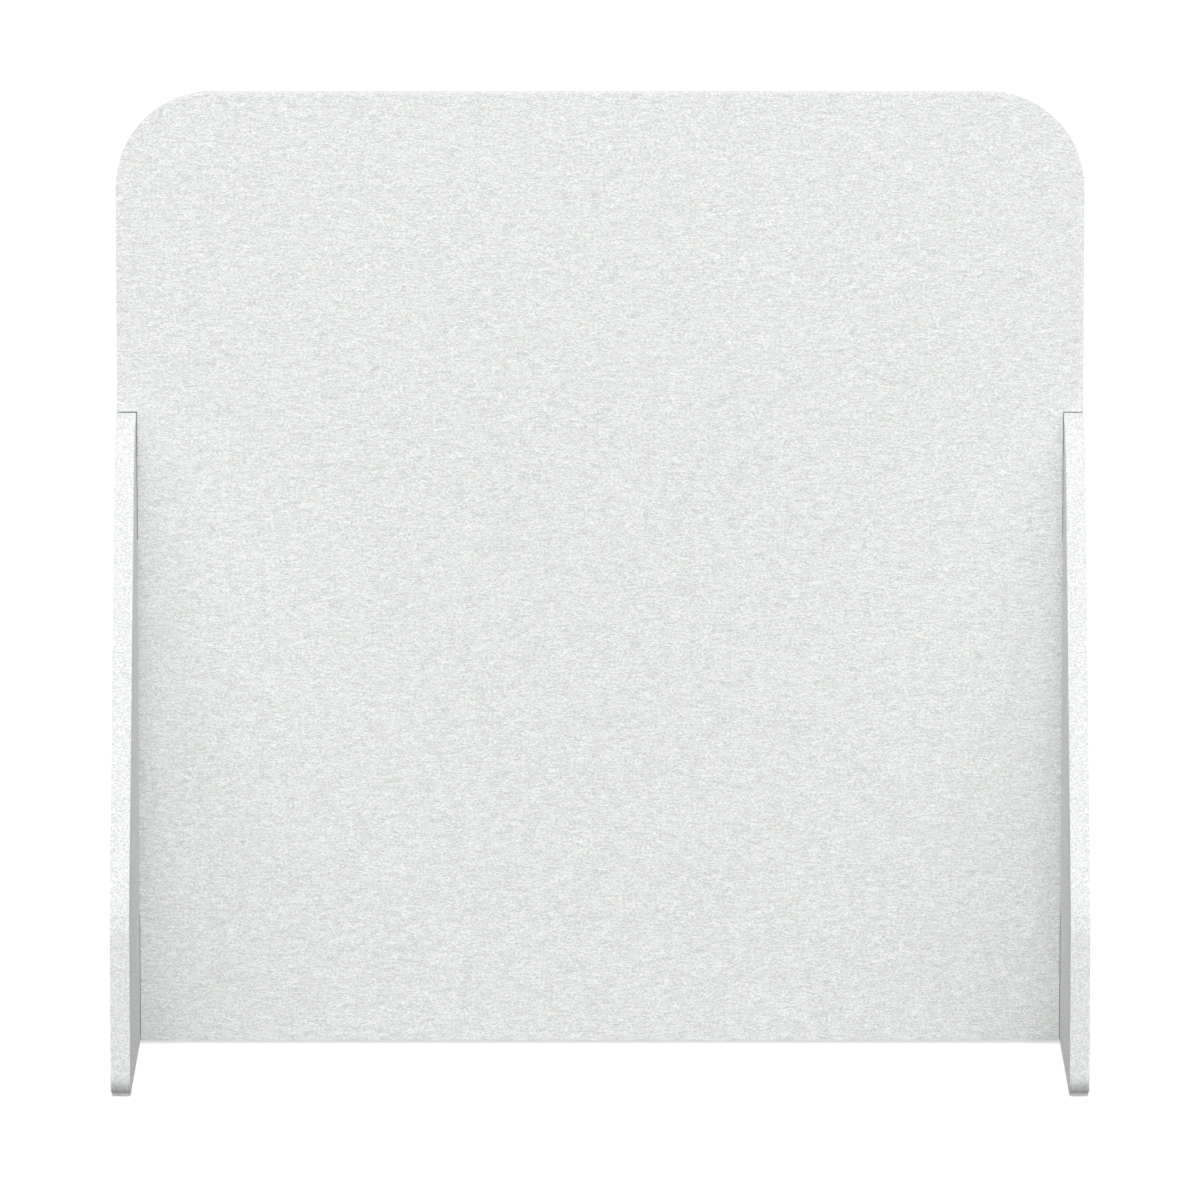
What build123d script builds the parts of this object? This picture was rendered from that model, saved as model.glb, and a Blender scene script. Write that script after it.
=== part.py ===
# Free-standing acoustic divider screen cut from thick pressed felt board.
# One panel with rounded top corners stands between two upright side feet. A long tab on each
# side of the panel passes through a mortise in the foot and ends flush with its outer face.
# Each foot stands on two low glides. Millimetres, +Z up, +X along the screen, front towards -Y,
# origin on the floor at the centre of the screen.
import os

from build123d import *

# Board and screen
felt_thickness = 24.0
screen_width = 1200.0
screen_height = 1200.0
corner_radius = 120.0
arris_size = 0.4  # bevel that the knife leaves on the board's edges

# Side feet, each a board on edge, square to the panel
foot_depth = 700.0
foot_height = 800.0
foot_crown_width = 140.0  # across the top, before its corners are rounded
foot_front_height = 228.0  # floor to where the upright front edge turns into the slope
crown_radius = 100.0
knee_radius = 150.0
toe_radius = 25.0

# Tab joint between the panel and each foot
mortise_margin = 160.0  # felt left in the foot above and below the mortise
mortise_clearance = 0.3  # all round the tab
notch_gap = 0.5  # between the panel's cut-back edge and the foot's inner face
shoulder_gap = 1.2  # between the top of the foot and the panel's shoulder

# Glides under the feet
glide_height = 4.0
glide_length = 80.0
glide_side_inset = 0.5  # from each face of the foot
glide_setback = 3.0  # from the foot's front plane; the glide runs on under the rounded toe
glide_corner_radius = 4.0
glide_rim_chamfer = 0.4

# Places worked out from the sizes above
half_screen = screen_width / 2
half_foot = foot_depth / 2
foot_inner_x = half_screen - felt_thickness
foot_centre_x = half_screen - felt_thickness / 2
notch_x = foot_inner_x - notch_gap
shoulder_z = foot_height + shoulder_gap
mortise_bottom_z = glide_height + mortise_margin
mortise_top_z = foot_height - mortise_margin
mortise_width = felt_thickness + 2 * mortise_clearance
mortise_centre_z = (mortise_bottom_z + mortise_top_z) / 2
tab_bottom_z = mortise_bottom_z + mortise_clearance
tab_top_z = mortise_top_z - mortise_clearance
glide_width = felt_thickness - 2 * glide_side_inset
glide_centre_y = half_foot - glide_setback - glide_length / 2

os.makedirs("parts", exist_ok=True)

# Screen panel: full width above the feet, cut back beside them, with a tab on each side
with BuildPart() as screen_panel:
    with BuildSketch(Plane.XZ) as panel_outline:
        with BuildLine():
            panel_side = Polyline(
                (0, glide_height),
                (notch_x, glide_height),
                (notch_x, tab_bottom_z),
                (half_screen, tab_bottom_z),
                (half_screen, tab_top_z),
                (notch_x, tab_top_z),
                (notch_x, shoulder_z),
                (half_screen, shoulder_z),
                (half_screen, screen_height),
                (0, screen_height),
            )
            mirror(panel_side, about=Plane.YZ)
        make_face()
        top_points = panel_outline.vertices().group_by(Axis.Y)[-1].sort_by(Axis.X)
        fillet([top_points[0], top_points[-1]], radius=corner_radius)
    extrude(amount=felt_thickness / 2, both=True)
    chamfer(screen_panel.faces().filter_by(Axis.Y).edges(), length=arris_size)
screen_panel.part.label = "screen_panel"
export_step(screen_panel.part, "parts/screen_panel.step")


# Foot: a tapering board with a rounded crown, upright ends and a mortise for the panel's tab
def make_foot(name, side):
    with BuildPart() as foot:
        with BuildSketch(Plane.YZ.offset(side * foot_centre_x)):
            with BuildLine():
                foot_half = FilletPolyline(
                    (0, glide_height),
                    (half_foot, glide_height),
                    (half_foot, foot_front_height),
                    (foot_crown_width / 2, foot_height),
                    (0, foot_height),
                    radius=[toe_radius, knee_radius, crown_radius],
                )
                mirror(foot_half, about=Plane.YZ)
            make_face()
            with Locations((0, mortise_centre_z)):
                Rectangle(mortise_width, mortise_top_z - mortise_bottom_z, mode=Mode.SUBTRACT)
        extrude(amount=felt_thickness / 2, both=True)
        cut_faces = foot.faces().filter_by(Axis.X)
        chamfer([face.outer_wire().edges() for face in cut_faces], length=arris_size)
    foot.part.label = name
    export_step(foot.part, f"parts/{name}.step")


# Glide: a low pad with rounded corners, stuck flat to the underside of the foot
def make_glide(name, side, end):
    with BuildPart() as glide:
        with BuildSketch(Plane.XY):
            with Locations((side * foot_centre_x, end * glide_centre_y)):
                RectangleRounded(glide_width, glide_length, glide_corner_radius)
        extrude(amount=glide_height)
        chamfer(glide.faces().sort_by(Axis.Z)[0].edges(), length=glide_rim_chamfer)
    glide.part.label = name
    export_step(glide.part, f"parts/{name}.step")


for side_name, side in (("left", -1), ("right", 1)):
    make_foot(f"{side_name}_foot", side)
    make_glide(f"{side_name}_front_glide", side, -1)
    make_glide(f"{side_name}_rear_glide", side, 1)
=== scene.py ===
import math

import bmesh
import bpy
from mathutils import Matrix, Vector, noise


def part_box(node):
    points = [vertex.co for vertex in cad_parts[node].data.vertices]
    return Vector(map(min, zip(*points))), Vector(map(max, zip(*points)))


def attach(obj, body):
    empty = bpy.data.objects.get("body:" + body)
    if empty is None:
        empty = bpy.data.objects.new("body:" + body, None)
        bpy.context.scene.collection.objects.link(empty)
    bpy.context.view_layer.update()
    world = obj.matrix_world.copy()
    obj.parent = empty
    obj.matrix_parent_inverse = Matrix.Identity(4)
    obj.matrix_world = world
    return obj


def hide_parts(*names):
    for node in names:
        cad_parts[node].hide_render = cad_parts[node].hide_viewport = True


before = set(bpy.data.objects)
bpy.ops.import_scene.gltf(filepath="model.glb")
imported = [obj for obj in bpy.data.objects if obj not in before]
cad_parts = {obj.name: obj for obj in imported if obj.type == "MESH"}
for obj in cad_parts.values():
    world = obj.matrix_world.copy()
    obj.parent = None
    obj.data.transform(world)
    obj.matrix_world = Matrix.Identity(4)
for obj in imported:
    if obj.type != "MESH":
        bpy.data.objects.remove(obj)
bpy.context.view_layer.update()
mm = 0.001  # the scene is in metres
print("frame loaded:", ", ".join(sorted(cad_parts)))


# Material tools

def linearColour(hexCode):
    channels = [int(hexCode[i:i + 2], 16) / 255 for i in (1, 3, 5)]
    curved = [c / 12.92 if c <= 0.04045 else ((c + 0.055) / 1.055) ** 2.4 for c in channels]
    return curved + [1.0]


def addNode(tree, kind, settings=None, values=None, links=None):
    node = tree.nodes.new(kind)
    for name, value in (settings or {}).items():
        setattr(node, name, value)
    for socket, value in (values or {}).items():
        node.inputs[socket].default_value = value
    for socket, source in (links or {}).items():
        tree.links.new(source, node.inputs[socket])
    return node


def newMaterial(name):
    material = bpy.data.materials.new(name)
    material.use_nodes = True
    material.node_tree.nodes.clear()
    return material, material.node_tree


noiseMiddle = 0.5  # what a noise texture swings about

# Pressed PET felt: recycled polyester fibres, carded flat, needled and hot pressed into board.
# To the eye it is a pale matt cloud of short, mostly level fibres, with fine level streaks, faint
# cool, pink and straw-coloured flecks, and fine layers on a knife-cut edge. Sizes in mm.
felt = {
    "bodyHex": "#E5E7E6",
    "shadeHex": "#D2D4D4",
    "lightHex": "#F7F9F7",
    "toneSpread": 0.095,  # how far the web's density swings before a fibre shows fully light or dark
    "fibreLength": 3.1,  # drawn coarser than the real 0.02 mm thick fibre so that it shows
    "fibreWidth": 0.78,
    "fibreDepth": 2.4,  # through the board, where a cut edge shows the fibres in crisp marks
    "webLayers": ((0.0, 0.5), (22.0, 0.25), (-18.0, 0.25)),  # degrees off level and share of each
    "webShift": (101.0, 43.0, 29.0),  # from one layer's pattern to the next
    "driftSize": 20.0,  # over which the fibres change direction
    "driftReach": 3.0,
    "streakLength": 17.0,  # fine level streaks where the web is thicker or thinner
    "streakWidth": 1.9,
    "streakShare": 0.3,
    "fleckHexes": ("#EDF3F4", "#F6F1F5", "#F4F4EC"),
    "fleckSize": 12.0,
    "fleckShift": (61.0, 37.0, 23.0),  # from one colour's pattern to the next
    "fleckRange": (0.5, 0.7),  # noise levels at which a fleck starts and is full
    "fleckStrength": 0.6,
    "layerPitch": 1.3,  # between the layers seen on a cut edge
    "layerLength": 18.0,
    "layerShare": 0.35,  # how much the layers add to the fibres' relief
    "bumpHeight": 0.26,
    "bumpStrength": 0.6,
    "roughness": 0.92,
    "specular": 0.15,
    "fuzz": 0.1,
    "fuzzRoughness": 0.6,
}


def placeInBoard(tree, level, upright, across, middle):
    # level, upright and across say which object axes run along, up and through the board, and
    # middle is how far out the board's middle lies, so that both feet can share one material
    here = addNode(tree, "ShaderNodeTexCoord")
    split = addNode(tree, "ShaderNodeSeparateXYZ", links={0: here.outputs["Object"]})
    depth = addNode(tree, "ShaderNodeMath", {"operation": "ABSOLUTE"}, links={0: split.outputs[across]})
    depth = addNode(tree, "ShaderNodeMath", {"operation": "SUBTRACT"}, {1: middle},
                    {0: depth.outputs[0]})
    inBoard = addNode(tree, "ShaderNodeCombineXYZ", links={
        0: split.outputs[level], 1: split.outputs[upright], 2: depth.outputs[0]})
    inBoard = addNode(tree, "ShaderNodeVectorMath", {"operation": "SCALE"}, {"Scale": 1 / mm},
                      {0: inBoard.outputs[0]})  # from here on in millimetres

    # fibres drift off level, so that they lie in soft waves
    drift = addNode(tree, "ShaderNodeTexNoise", values={"Scale": 1 / felt["driftSize"], "Detail": 1.0},
                    links={"Vector": inBoard.outputs[0]})
    drift = addNode(tree, "ShaderNodeVectorMath", {"operation": "SUBTRACT"}, {1: (noiseMiddle,) * 3},
                    {0: drift.outputs["Color"]})
    drift = addNode(tree, "ShaderNodeVectorMath", {"operation": "SCALE"},
                    {"Scale": felt["driftReach"] / noiseMiddle}, {0: drift.outputs[0]})
    wavy = addNode(tree, "ShaderNodeVectorMath", {"operation": "ADD"},
                   links={0: inBoard.outputs[0], 1: drift.outputs[0]})
    return wavy.outputs[0]


def fibreWeb(tree, place):
    # carded layers cross one another, each drawn as noise that is stretched along its fibres
    web = None
    for count, (turn, share) in enumerate(felt["webLayers"]):
        turned = addNode(tree, "ShaderNodeMapping", {"vector_type": "TEXTURE"}, {
            "Location": [count * shift for shift in felt["webShift"]],
            "Rotation": (0.0, 0.0, math.radians(turn)),
            "Scale": (felt["fibreLength"], felt["fibreWidth"], felt["fibreDepth"]),
        }, {"Vector": place})
        fibres = addNode(tree, "ShaderNodeTexNoise", values={"Scale": 1.0, "Detail": 0.0},
                         links={"Vector": turned.outputs[0]})
        fibres = addNode(tree, "ShaderNodeMath", {"operation": "MULTIPLY"}, {1: share},
                         {0: fibres.outputs["Fac"]})
        if web is None:
            web = fibres.outputs[0]
        else:
            web = addNode(tree, "ShaderNodeMath", {"operation": "ADD"}, links={
                0: web, 1: fibres.outputs[0]}).outputs[0]
    return web


def webTone(tree, place, web):
    # a dense stretch of web or a thick streak throws back more light than a thin one
    streak = addNode(tree, "ShaderNodeMapping", {"vector_type": "TEXTURE"}, {
        "Scale": (felt["streakLength"], felt["streakWidth"], felt["streakWidth"])},
        {"Vector": place})
    streak = addNode(tree, "ShaderNodeTexNoise", values={"Scale": 1.0, "Detail": 1.0},
                     links={"Vector": streak.outputs[0]})
    cloud = addNode(tree, "ShaderNodeMath", {"operation": "SUBTRACT"}, {1: noiseMiddle},
                    {0: streak.outputs["Fac"]})
    cloud = addNode(tree, "ShaderNodeMath", {"operation": "MULTIPLY_ADD"}, {1: felt["streakShare"]},
                    {0: cloud.outputs[0], 2: web})
    tone = addNode(tree, "ShaderNodeValToRGB", links={0: cloud.outputs[0]})
    thin, dense = tone.color_ramp.elements
    thin.position = noiseMiddle - felt["toneSpread"]
    thin.color = linearColour(felt["shadeHex"])
    dense.position = noiseMiddle + felt["toneSpread"]
    dense.color = linearColour(felt["lightHex"])
    tone.color_ramp.elements.new(noiseMiddle).color = linearColour(felt["bodyHex"])
    return tone.outputs["Color"]


def addFlecks(tree, place, colour):
    # flecks of fibre from other bales give faint cool, pink and straw-coloured spots
    start, full = felt["fleckRange"]
    for count, hexCode in enumerate(felt["fleckHexes"]):
        shifted = addNode(tree, "ShaderNodeMapping", {"vector_type": "TEXTURE"}, {
            "Location": [count * shift for shift in felt["fleckShift"]],
            "Scale": (felt["fleckSize"], felt["fleckSize"] / 2, felt["fleckSize"] / 2)},
            {"Vector": place})
        fleck = addNode(tree, "ShaderNodeTexNoise", values={
            "Scale": 1.0, "Detail": 2.0, "Roughness": 0.7}, links={"Vector": shifted.outputs[0]})
        amount = addNode(tree, "ShaderNodeMapRange", values={
            "From Min": start, "From Max": full, "To Min": 0.0, "To Max": felt["fleckStrength"]},
            links={"Value": fleck.outputs["Fac"]})
        tint = addNode(tree, "ShaderNodeMix", {"data_type": "RGBA", "blend_type": "MULTIPLY"},
                       {7: linearColour(hexCode)}, {0: amount.outputs[0], 6: colour})
        colour = tint.outputs[2]
    return colour


def feltRelief(tree, place, web):
    # cut edges show the pressed layers as fine lines along the edge
    strata = addNode(tree, "ShaderNodeMapping", {"vector_type": "TEXTURE"}, {
        "Scale": (felt["layerLength"], felt["layerLength"], felt["layerPitch"])},
        {"Vector": place})
    strata = addNode(tree, "ShaderNodeTexNoise", values={"Scale": 1.0, "Detail": 2.0},
                     links={"Vector": strata.outputs[0]})
    height = addNode(tree, "ShaderNodeMath", {"operation": "MULTIPLY_ADD"}, {1: felt["layerShare"]},
                     {0: strata.outputs["Fac"], 2: web})
    bump = addNode(tree, "ShaderNodeBump", values={
        "Strength": felt["bumpStrength"], "Distance": felt["bumpHeight"] * mm},
        links={"Height": height.outputs[0]})
    return bump.outputs[0]


def feltMaterial(name, level, upright, across, middle):
    material, tree = newMaterial(name)
    place = placeInBoard(tree, level, upright, across, middle)
    web = fibreWeb(tree, place)
    colour = addFlecks(tree, place, webTone(tree, place, web))
    shader = addNode(tree, "ShaderNodeBsdfPrincipled", values={
        "Roughness": felt["roughness"], "Specular IOR Level": felt["specular"],
        "Sheen Weight": felt["fuzz"], "Sheen Roughness": felt["fuzzRoughness"]},
        links={"Base Color": colour, "Normal": feltRelief(tree, place, web)})
    addNode(tree, "ShaderNodeOutputMaterial", links={"Surface": shader.outputs[0]})
    return material


# Moulded polypropylene, spark-eroded tool: an even satin grain on a natural off-white. Sizes in mm.
glidePlastic = {
    "hex": "#F8F8F8",
    "grainSize": 0.35,
    "grainDepth": 0.05,
    "grainStrength": 0.3,
    "roughness": (0.42, 0.58),  # in the grain's hollows and on its tops
}


def plasticMaterial(name):
    material, tree = newMaterial(name)
    place = addNode(tree, "ShaderNodeTexCoord")
    grain = addNode(tree, "ShaderNodeTexNoise", values={
        "Scale": 1 / (glidePlastic["grainSize"] * mm), "Detail": 2.0},
        links={"Vector": place.outputs["Object"]})
    bump = addNode(tree, "ShaderNodeBump", values={
        "Strength": glidePlastic["grainStrength"], "Distance": glidePlastic["grainDepth"] * mm},
        links={"Height": grain.outputs["Fac"]})
    hollows, tops = glidePlastic["roughness"]
    shine = addNode(tree, "ShaderNodeMapRange", values={"To Min": hollows, "To Max": tops},
                    links={"Value": grain.outputs["Fac"]})
    shader = addNode(tree, "ShaderNodeBsdfPrincipled", values={
        "Base Color": linearColour(glidePlastic["hex"])},
        links={"Roughness": shine.outputs[0], "Normal": bump.outputs[0]})
    addNode(tree, "ShaderNodeOutputMaterial", links={"Surface": shader.outputs[0]})
    return material


# Board tools: an outline with rounded corners, carried through the thickness of the board

board = {
    "gridStep": 12 * mm,
    "gridSnap": 0.05 * mm,  # a grid line this near a point goes through it
    "arcSteps": 24,
    "arrisSteps": 4,
    "slotArris": 0.6 * mm,  # so that the joint shows as a fine line
    "slotArrisSteps": 3,
    "flatRim": 1.0 * mm,  # a narrow ring beside the arris keeps its soft shading off the flat face
    "edgeRings": 8,
    "creaseAngle": math.radians(40),  # edges that turn by more than this stay crisp
    "relief": 0.10 * mm,  # how far the pressed faces wander from flat
    "reliefSize": 45 * mm,
    "edgeRelief": 0.16 * mm,  # how far the cut layers stand or lie back
    "edgeReliefSize": (60 * mm, 60 * mm, 3 * mm),  # long along the board, thin through it
    "reliefPlace": Vector((3.7, 9.1, 5.3)),  # where in the noise the board lies
    "drawnIn": 0.05 * mm,  # the whole surface, so that the relief's peaks stay near the true faces
}


def insetOutline(corners, inset):
    # corners are (u, v, radius) anticlockwise; the outlines of one board all have as many points
    points = []
    total = len(corners)
    for i, (u, v, radius) in enumerate(corners):
        here = Vector((u, v))
        before = Vector(corners[i - 1][:2])
        after = Vector(corners[(i + 1) % total][:2])
        arriving = (here - before).normalized()
        leaving = (after - here).normalized()
        sideIn = Vector((-arriving.y, arriving.x))
        sideOut = Vector((-leaving.y, leaving.x))
        corner = here + (sideIn + sideOut) * (inset / (1 + sideIn.dot(sideOut)))
        if radius == 0:
            points.append(corner)
            continue
        turn = abs(arriving.angle_signed(leaving))  # every rounded corner is convex
        curve = radius - inset
        start = corner - arriving * curve * math.tan(turn / 2)
        centre = start + sideIn * curve
        for step in range(board["arcSteps"] + 1):
            share = step / board["arcSteps"]
            points.append(centre + Matrix.Rotation(turn * share, 2) @ (start - centre))
    return points


def cutGrid(mesh, axis, places):
    normal = Vector([1.0 if i == axis else 0.0 for i in range(3)])
    for place in places:
        geometry = mesh.verts[:] + mesh.edges[:] + mesh.faces[:]
        bmesh.ops.bisect_plane(mesh, geom=geometry, dist=board["gridSnap"],
                               plane_co=normal * place, plane_no=normal)


def gridPlaces(low, high, step):
    count = max(1, round((high - low) / step))
    return [low + (high - low) * i / count for i in range(1, count)]


def buildBoard(name, corners, thickness, arris, slot=None, pressed=True):
    # The board is built flat, u along X, v along Y and its thickness along Z. Its section runs from
    # the upper face over the arris, down the edge and under, as (inset, height) pairs.
    half = thickness / 2
    steps = board["arrisSteps"]
    upperEdge = [(arris + board["flatRim"], half)]
    for a in [math.pi / 2 * i / steps for i in range(steps + 1)]:
        upperEdge.append((arris * (1 - math.sin(a)), half - arris * (1 - math.cos(a))))
    wallCount = board["edgeRings"]
    wall = [(0.0, (half - arris) * (1 - 2 * i / wallCount)) for i in range(1, wallCount)]
    section = upperEdge + wall + [(inset, -w) for inset, w in reversed(upperEdge)]

    mesh = bmesh.new()
    rings = []
    for inset, w in section:
        rings.append([mesh.verts.new((p.x, p.y, w)) for p in insetOutline(corners, inset)])
    for upper, lower in zip(rings, rings[1:]):
        for i in range(len(upper)):
            j = (i + 1) % len(upper)
            mesh.faces.new((upper[i], lower[i], lower[j], upper[j]))
    mesh.faces.new(rings[0])
    mesh.faces.new(list(reversed(rings[-1])))

    us, vs = [c[0] for c in corners], [c[1] for c in corners]
    if slot:
        cutGrid(mesh, 0, (slot["left"], slot["right"]))
        cutGrid(mesh, 1, (slot["bottom"], slot["top"]))
    cutGrid(mesh, 0, gridPlaces(min(us), max(us), board["gridStep"]))
    cutGrid(mesh, 1, gridPlaces(min(vs), max(vs), board["gridStep"]))
    if slot:
        openSlot(mesh, slot)
    mesh.normal_update()
    if pressed:
        roughen(mesh, half, arris)
    data = bpy.data.meshes.new(name)
    mesh.to_mesh(data)
    mesh.free()
    data.shade_smooth()
    data.set_sharp_from_angle(angle=board["creaseAngle"])
    piece = bpy.data.objects.new(name, data)
    bpy.context.scene.collection.objects.link(piece)
    return piece


def openSlot(mesh, slot):
    inside = []
    for face in mesh.faces:
        middle = face.calc_center_median()
        isFlat = abs(face.normal.z) > math.cos(board["creaseAngle"])
        isInside = slot["left"] < middle.x < slot["right"] and slot["bottom"] < middle.y < slot["top"]
        if isFlat and isInside:
            inside.append(face)
    bmesh.ops.delete(mesh, geom=inside, context="FACES")
    rims = [e for e in mesh.edges if e.is_boundary]
    bmesh.ops.bridge_loops(mesh, edges=rims)
    bmesh.ops.bevel(mesh, geom=rims, offset=board["slotArris"], segments=board["slotArrisSteps"],
                    profile=0.5, affect="EDGES")


def roughen(mesh, half, arris):
    # pressed faces wander a little, and the knife leaves each layer standing or lying back
    sizes = board["edgeReliefSize"]
    for vertex in mesh.verts:
        p = vertex.co
        onWall = min(1.0, max(0.0, (half - abs(p.z)) / arris))
        wander = noise.noise(p / board["reliefSize"] + board["reliefPlace"]) * board["relief"]
        scaled = Vector([p[i] / sizes[i] for i in range(3)])
        layers = noise.noise(scaled + board["reliefPlace"]) * board["edgeRelief"]
        outward = wander * (1 - onWall) + layers * onWall - board["drawnIn"]
        vertex.co = p + vertex.normal * outward


def standUp(piece, along, centre):
    # along is the world axis that the board's u runs along; v always runs up
    if along == "x":
        turn = Matrix(((1, 0, 0), (0, 0, -1), (0, 1, 0)))
    else:
        turn = Matrix(((0, 0, 1), (1, 0, 0), (0, 1, 0)))
    piece.data.transform(Matrix.Translation(centre) @ turn.to_4x4())


# Screen panel: full width above the feet, cut back beside them, a tab on each side

panelLow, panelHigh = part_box("screen_panel")
footLow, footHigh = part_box("right_foot")

screen = {
    "cornerRadius": 120 * mm,
    "arris": 0.4 * mm,
    "notchGap": 0.5 * mm,  # between the cut-back edge and the foot
    "mortiseMargin": 160 * mm,  # felt left in the foot above and below the mortise
    "clearance": 0.3 * mm,  # all round the tab
    "shoulderGap": 1.2 * mm,  # between the foot's top and the panel's shoulder
}

panelThickness = panelHigh.y - panelLow.y
mortiseBottom = footLow.z + screen["mortiseMargin"]
mortiseTop = footHigh.z - screen["mortiseMargin"]


def makePanel():
    edge = panelHigh.x
    notch = footLow.x - screen["notchGap"]
    tabLow = mortiseBottom + screen["clearance"]
    tabHigh = mortiseTop - screen["clearance"]
    shoulder = footHigh.z + screen["shoulderGap"]
    rightSide = [
        (notch, panelLow.z, 0), (notch, tabLow, 0), (edge, tabLow, 0), (edge, tabHigh, 0),
        (notch, tabHigh, 0), (notch, shoulder, 0), (edge, shoulder, 0),
        (edge, panelHigh.z, screen["cornerRadius"]),
    ]
    leftSide = [(-u, v, radius) for u, v, radius in reversed(rightSide)]
    piece = buildBoard("screenPanelFelt", rightSide + leftSide, panelThickness, screen["arris"])
    standUp(piece, "x", Vector((0, 0, 0)))
    piece.data.materials.append(
        feltMaterial("pressed PET felt, panel", level=0, upright=2, across=1, middle=0.0))
    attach(piece, "screen")
    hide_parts("screen_panel")


# Side feet

foot = {
    "crownWidth": 140 * mm,  # before its corners are rounded
    "frontHeight": 228 * mm,  # where the upright front edge turns into the slope
    "crownRadius": 100 * mm,
    "kneeRadius": 150 * mm,
    "toeRadius": 25 * mm,
}


def makeFoot(side, material):
    low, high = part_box(side + "_foot")
    corners = [
        (low.y, low.z, foot["toeRadius"]), (high.y, low.z, foot["toeRadius"]),
        (high.y, foot["frontHeight"], foot["kneeRadius"]),
        (foot["crownWidth"] / 2, high.z, foot["crownRadius"]),
        (-foot["crownWidth"] / 2, high.z, foot["crownRadius"]),
        (low.y, foot["frontHeight"], foot["kneeRadius"]),
    ]
    slot = {
        "left": -panelThickness / 2 - screen["clearance"],
        "right": panelThickness / 2 + screen["clearance"],
        "bottom": mortiseBottom,
        "top": mortiseTop,
    }
    piece = buildBoard(side + "FootFelt", corners, high.x - low.x, screen["arris"], slot)
    standUp(piece, "y", Vector(((low.x + high.x) / 2, 0, 0)))
    piece.data.materials.append(material)
    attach(piece, side + "_side")
    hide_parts(side + "_foot")


makePanel()
print("panel made")
footFelt = feltMaterial("pressed PET felt, feet", level=1, upright=2, across=0,
                        middle=(footLow.x + footHigh.x) / 2)
for side in ("left", "right"):
    makeFoot(side, footFelt)
print("feet made")


# Glides: low pads that end where the flat underside of the foot curves up into the toe

glide = {
    "toeEndSetback": 22 * mm,  # from the foot's front plane and its rear one
    "cornerRadius": 4 * mm,
    "rimRadius": 0.4 * mm,
}


def makeGlide(side, end, material):
    name = side + "_" + end + "_glide"
    low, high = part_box(name)
    toe = footHigh.y - glide["toeEndSetback"]
    front, rear = max(low.y, -toe), min(high.y, toe)
    places = [(low.x, front), (high.x, front), (high.x, rear), (low.x, rear)]
    corners = [(x, y, glide["cornerRadius"]) for x, y in places]
    piece = buildBoard(side + end.capitalize() + "GlidePad", corners, high.z - low.z,
                       glide["rimRadius"], pressed=False)
    piece.data.transform(Matrix.Translation((0, 0, (low.z + high.z) / 2)))
    piece.data.materials.append(material)
    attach(piece, side + "_side")
    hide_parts(name)


plastic = plasticMaterial("moulded polypropylene, glide")
for side in ("left", "right"):
    for end in ("front", "rear"):
        makeGlide(side, end, plastic)
print("glides made")


# Studio: white floor, three walls of soft light, a high lamp in front and three low ones behind

studio = {
    "softWalls": {  # direction, strength at its middle, and the power of the cosine that it fades by
        "front wall": ((0, -1, 0), 2.27, 3),
        "rear wall": ((0, 1, 0), 0.3, 1),
        "overhead wall": ((0, 0, 1), 0.42, 2),
    },
    # watts, metres from the screen, degrees above level, and metres across
    "frontLamp": {"power": 775.0, "away": 12.0, "above": 50.0, "across": 4.4},
    "farLamps": {  # strength, degrees above level, degrees round from the front, spread in degrees
        "left lamp": (0.8, 5.0, -120.0, 40.0),
        "right lamp": (0.8, 5.0, 120.0, 40.0),
        "rear lamp": (2.2, 5.0, 180.0, 40.0),
    },
    "floorReach": 90.0,
    "floorGlow": 0.64,  # the part of the floor's white that no shadow takes away
    "floorPaint": 0.54,  # the part that shadows show on
    "floorBounce": 0.34,  # share of the light that the floor sends back up
}
photoCamera = {
    "distance": 15.255,  # metres from the screen
    "height": 3.175,  # metres above the floor
    "pitch": 9.72,  # degrees down
    "lens": 372.5,  # mm
    "sensor": 36.0,  # mm
    "reach": 200.0,  # metres that it sees
}


def seenRay(tree):
    # one for what is seen, straight, mirrored or through something clear, and nought for lighting
    ray = addNode(tree, "ShaderNodeLightPath")
    seen = addNode(tree, "ShaderNodeMath", {"operation": "MAXIMUM"}, links={
        0: ray.outputs["Is Camera Ray"], 1: ray.outputs["Is Glossy Ray"]})
    seen = addNode(tree, "ShaderNodeMath", {"operation": "MAXIMUM"}, links={
        0: seen.outputs[0], 1: ray.outputs["Is Transmission Ray"]})
    return seen.outputs[0]


def makeFloor():
    reach = studio["floorReach"]
    data = bpy.data.meshes.new("floor")
    corners = [(-reach, -reach, 0), (reach, -reach, 0), (reach, reach, 0), (-reach, reach, 0)]
    data.from_pydata(corners, [], [(0, 1, 2, 3)])
    floor = bpy.data.objects.new("floor", data)
    bpy.context.scene.collection.objects.link(floor)
    material, tree = newMaterial("matt white vinyl floor")
    seen = seenRay(tree)
    paint = addNode(tree, "ShaderNodeBsdfDiffuse", values={"Color": (studio["floorPaint"],) * 3 + (1,)})
    glow = addNode(tree, "ShaderNodeEmission", values={
        "Color": (1, 1, 1, 1), "Strength": studio["floorGlow"]})
    lit = addNode(tree, "ShaderNodeAddShader", links={0: paint.outputs[0], 1: glow.outputs[0]})
    bounce = addNode(tree, "ShaderNodeBsdfDiffuse", values={"Color": (studio["floorBounce"],) * 3 + (1,)})
    mixed = addNode(tree, "ShaderNodeMixShader", links={0: seen, 1: bounce.outputs[0], 2: lit.outputs[0]})
    addNode(tree, "ShaderNodeOutputMaterial", links={"Surface": mixed.outputs[0]})
    data.materials.append(material)


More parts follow.
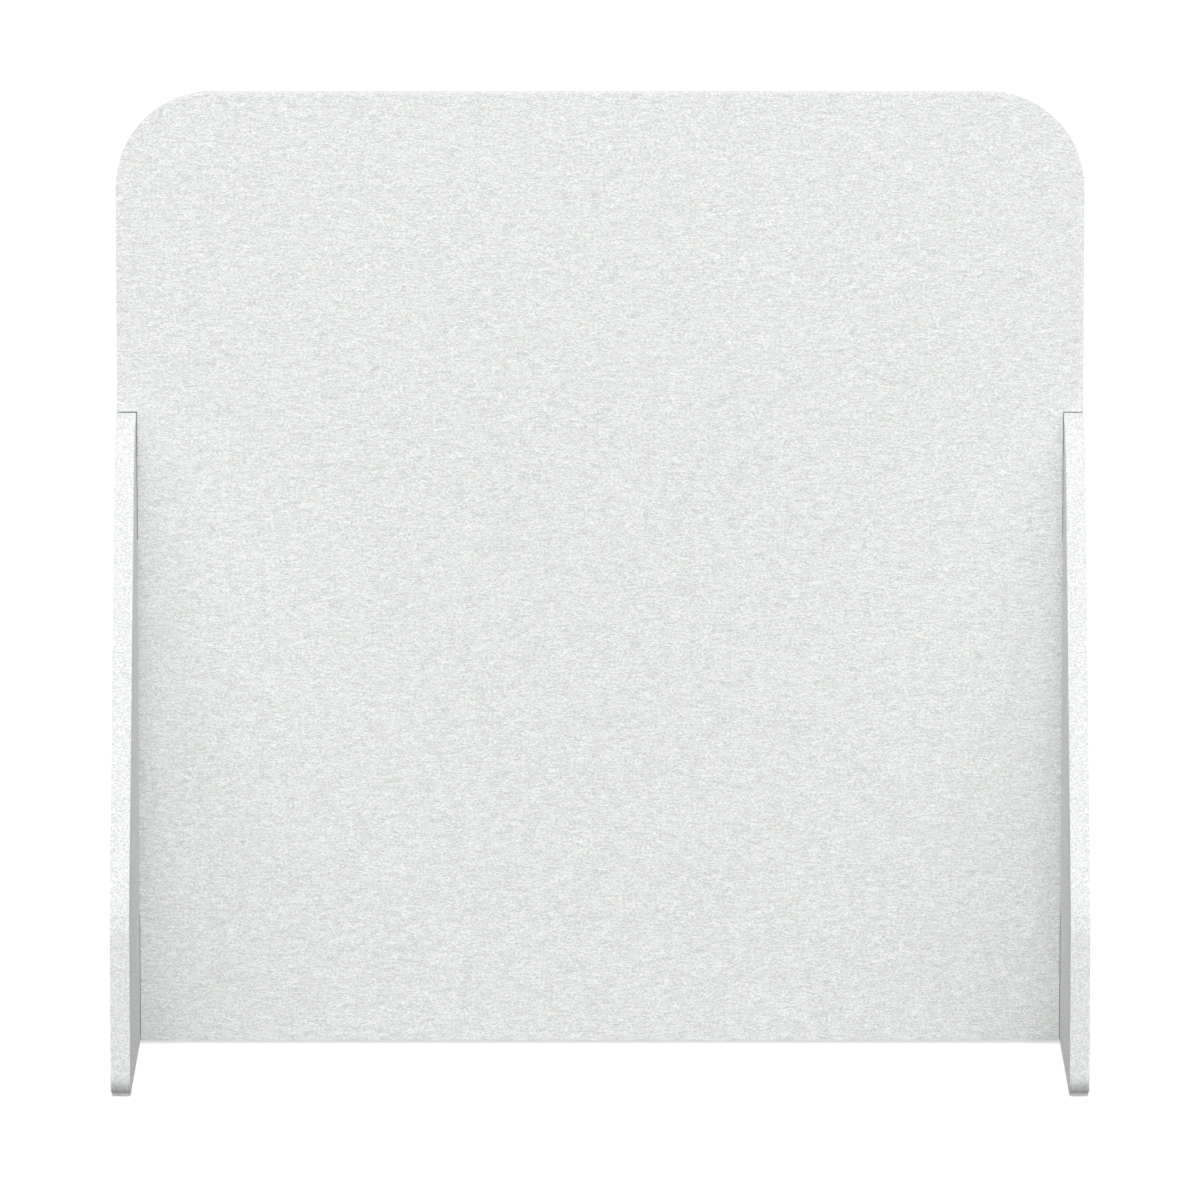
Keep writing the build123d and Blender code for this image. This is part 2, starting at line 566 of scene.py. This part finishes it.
def makeSky():
    world = bpy.data.worlds.new("studio")
    world.use_nodes = True
    tree = world.node_tree
    tree.nodes.clear()
    look = addNode(tree, "ShaderNodeTexCoord")
    light = None
    for direction, strength, power in studio["softWalls"].values():
        facing = addNode(tree, "ShaderNodeVectorMath", {"operation": "DOT_PRODUCT"}, {1: direction},
                         {0: look.outputs["Generated"]})
        facing = addNode(tree, "ShaderNodeMath", {"operation": "MAXIMUM"}, {1: 0.0},
                         {0: facing.outputs["Value"]})
        facing = addNode(tree, "ShaderNodeMath", {"operation": "POWER"}, {1: power},
                         {0: facing.outputs[0]})
        wall = addNode(tree, "ShaderNodeMath", {"operation": "MULTIPLY_ADD"}, {1: strength, 2: 0.0},
                       {0: facing.outputs[0]})
        if light is not None:
            tree.links.new(light, wall.inputs[2])
        light = wall.outputs[0]
    brightness = addNode(tree, "ShaderNodeMix", {"data_type": "FLOAT"}, {3: 1.0},
                         {0: seenRay(tree), 2: light})
    sky = addNode(tree, "ShaderNodeBackground", values={"Color": (1, 1, 1, 1)},
                  links={"Strength": brightness.outputs[0]})
    addNode(tree, "ShaderNodeOutputWorld", links={"Surface": sky.outputs[0]})
    bpy.context.scene.world = world


def makeFrontLamp():
    # it stands near enough for its light to fade down the screen
    values = studio["frontLamp"]
    data = bpy.data.lights.new("front lamp", "AREA")
    data.shape = "DISK"
    data.size = values["across"]
    data.energy = values["power"]
    lamp = bpy.data.objects.new("front lamp", data)
    tilt = math.radians(values["above"])
    forward, upward = values["away"] * math.cos(tilt), values["away"] * math.sin(tilt)
    lamp.location = (0, -forward, panelHigh.z / 2 + upward)
    lamp.rotation_euler = (math.pi / 2 - tilt, 0, 0)
    bpy.context.scene.collection.objects.link(lamp)


def makeFarLamps():
    for name, (strength, above, around, spread) in studio["farLamps"].items():
        data = bpy.data.lights.new(name, "SUN")
        data.energy = strength
        data.angle = math.radians(spread)
        lamp = bpy.data.objects.new(name, data)
        lamp.rotation_euler = (math.radians(90 - above), 0, math.radians(around))
        bpy.context.scene.collection.objects.link(lamp)


def makeCamera():
    data = bpy.data.cameras.new("camera")
    data.lens = photoCamera["lens"]
    data.sensor_width = photoCamera["sensor"]
    data.clip_end = photoCamera["reach"]
    camera = bpy.data.objects.new("camera", data)
    camera.location = (0, -photoCamera["distance"], photoCamera["height"])
    camera.rotation_euler = (math.radians(90 - photoCamera["pitch"]), 0, 0)
    bpy.context.scene.collection.objects.link(camera)
    bpy.context.scene.camera = camera


makeFloor()
makeSky()
makeFrontLamp()
makeFarLamps()
makeCamera()
bpy.context.scene.view_settings.view_transform = "Standard"
print("studio made")
